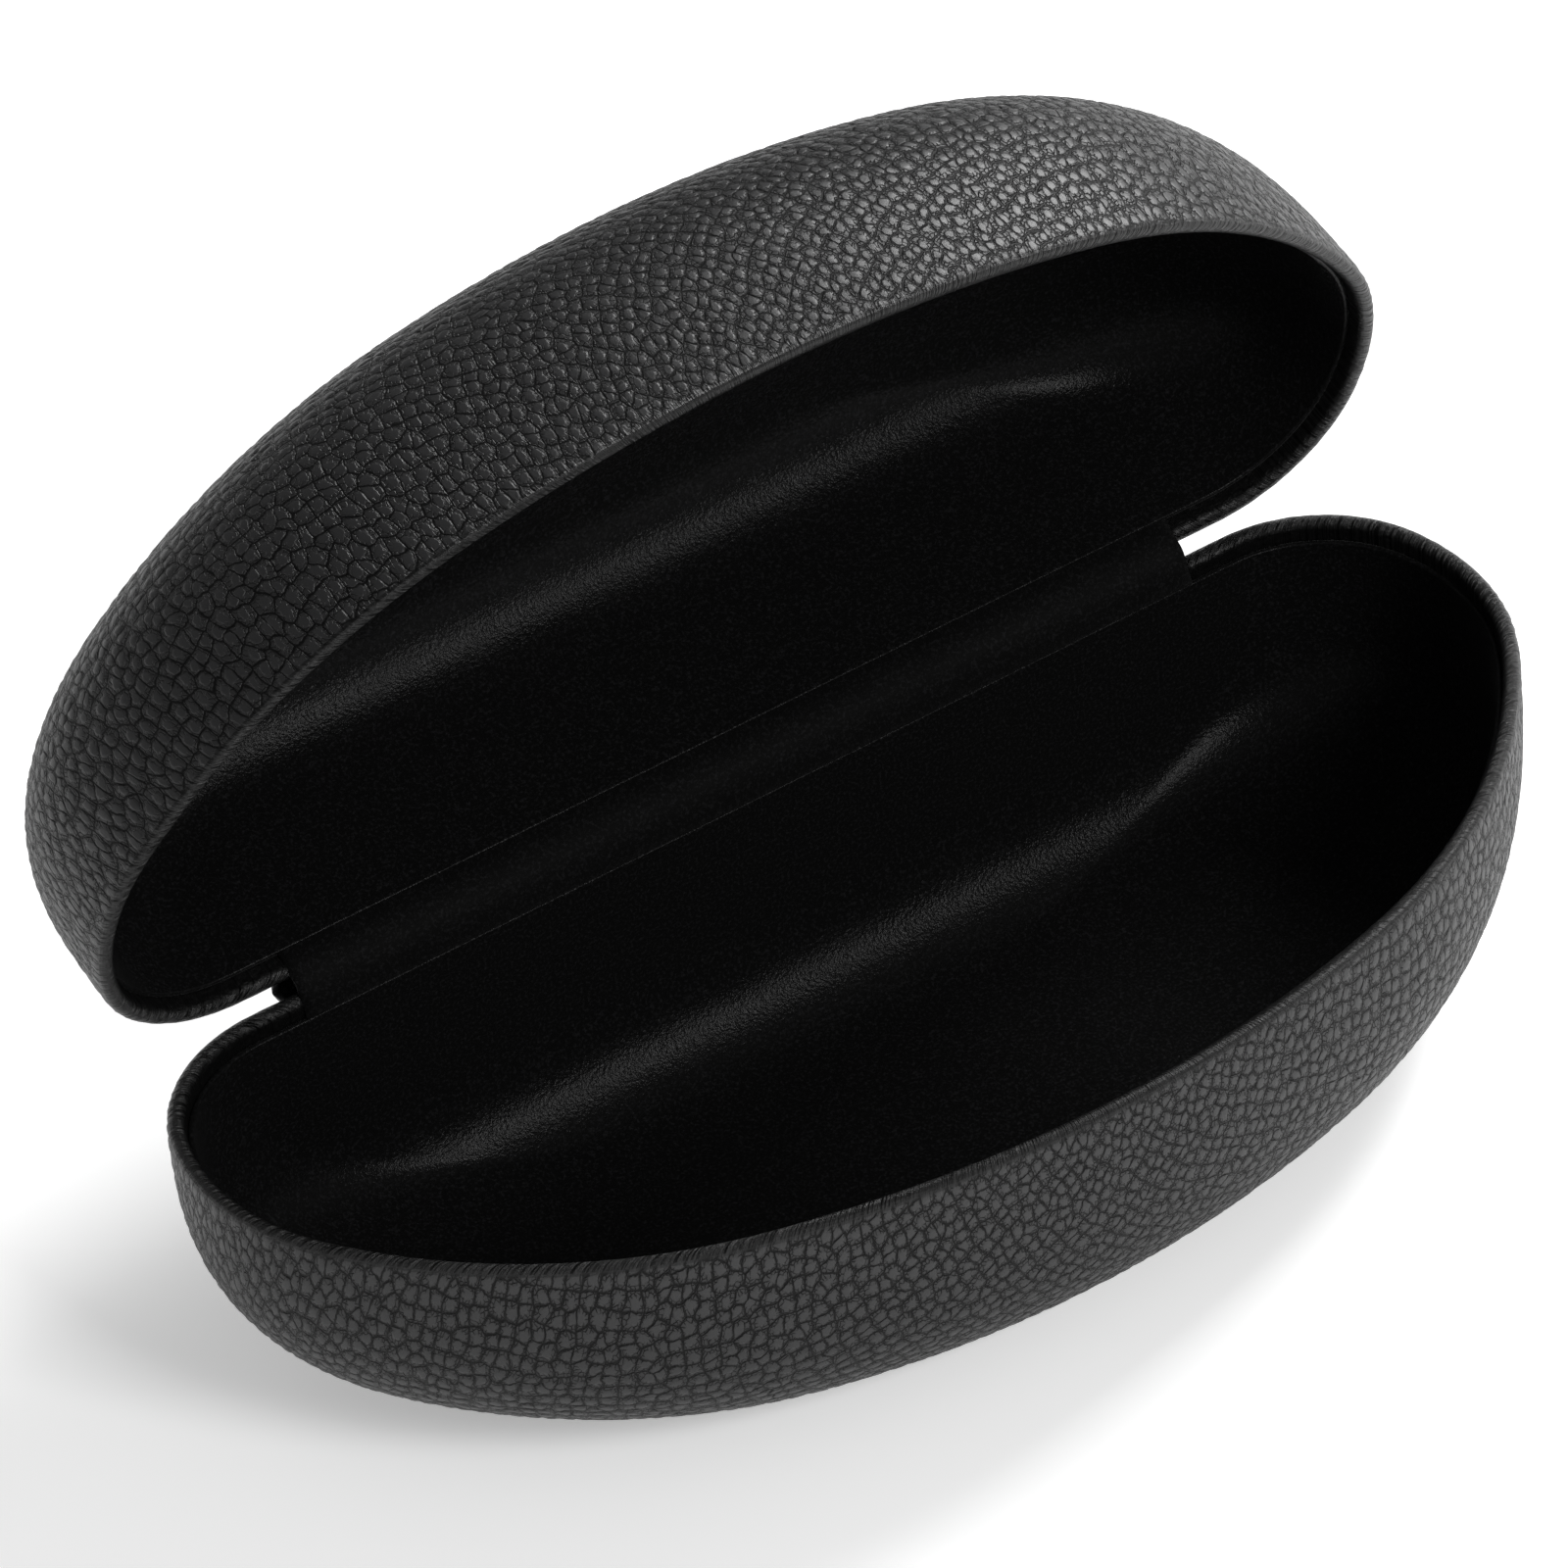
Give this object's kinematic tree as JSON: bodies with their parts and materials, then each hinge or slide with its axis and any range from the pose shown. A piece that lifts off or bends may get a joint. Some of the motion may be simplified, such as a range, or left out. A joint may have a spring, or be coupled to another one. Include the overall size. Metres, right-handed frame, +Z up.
{
  "type": "eyeglasses case",
  "caption": "Hard clamshell case for eyeglasses, with a leather-covered pressed shell, flocked lining and a long spring hinge, standing open.",
  "frame": {"origin": "middle of the case's footprint, on the table under the flat bottom of the base", "axes": "+X along the case, +Y towards the hinge, +Z up; the front of the case faces -Y"},
  "size_m": [0.164, 0.1026, 0.1074],
  "materials": {
    "leather": "black pebble-grain coated leather, semi-matt",
    "lining": "black flocked lining, deep matt with a soft sheen",
    "steel": "pressed galvanised sheet steel, dull",
    "hinge_steel": "nickel-plated sheet steel, satin",
    "pin_steel": "drawn steel wire, smooth",
    "spring_steel": "spring steel wire, dark and smooth"
  },
  "bodies": {
    "base": {"base_cover": "leather", "base_shell": "steel", "base_liner": "lining", "base_hinge_leaf": "hinge_steel", "base_rivets": "hinge_steel", "hinge_pin": "pin_steel", "left_snap_spring": "spring_steel", "right_snap_spring": "spring_steel", "lining_strip": "lining", "back_strip": "leather"},
    "lid": {"lid_cover": "leather", "lid_shell": "steel", "lid_liner": "lining", "lid_hinge_leaf": "hinge_steel", "lid_rivets": "hinge_steel"}
  },
  "joints": [
    {"name": "lid_hinge", "type": "hinge", "parent": "base", "child": "lid", "pos_m": [0, 0.03595, 0.03435], "axis": [-1, 0, 0], "range_deg": [-73.4, 20], "deforming": ["lining_strip", "back_strip", "left_snap_spring", "right_snap_spring"]}
  ]
}
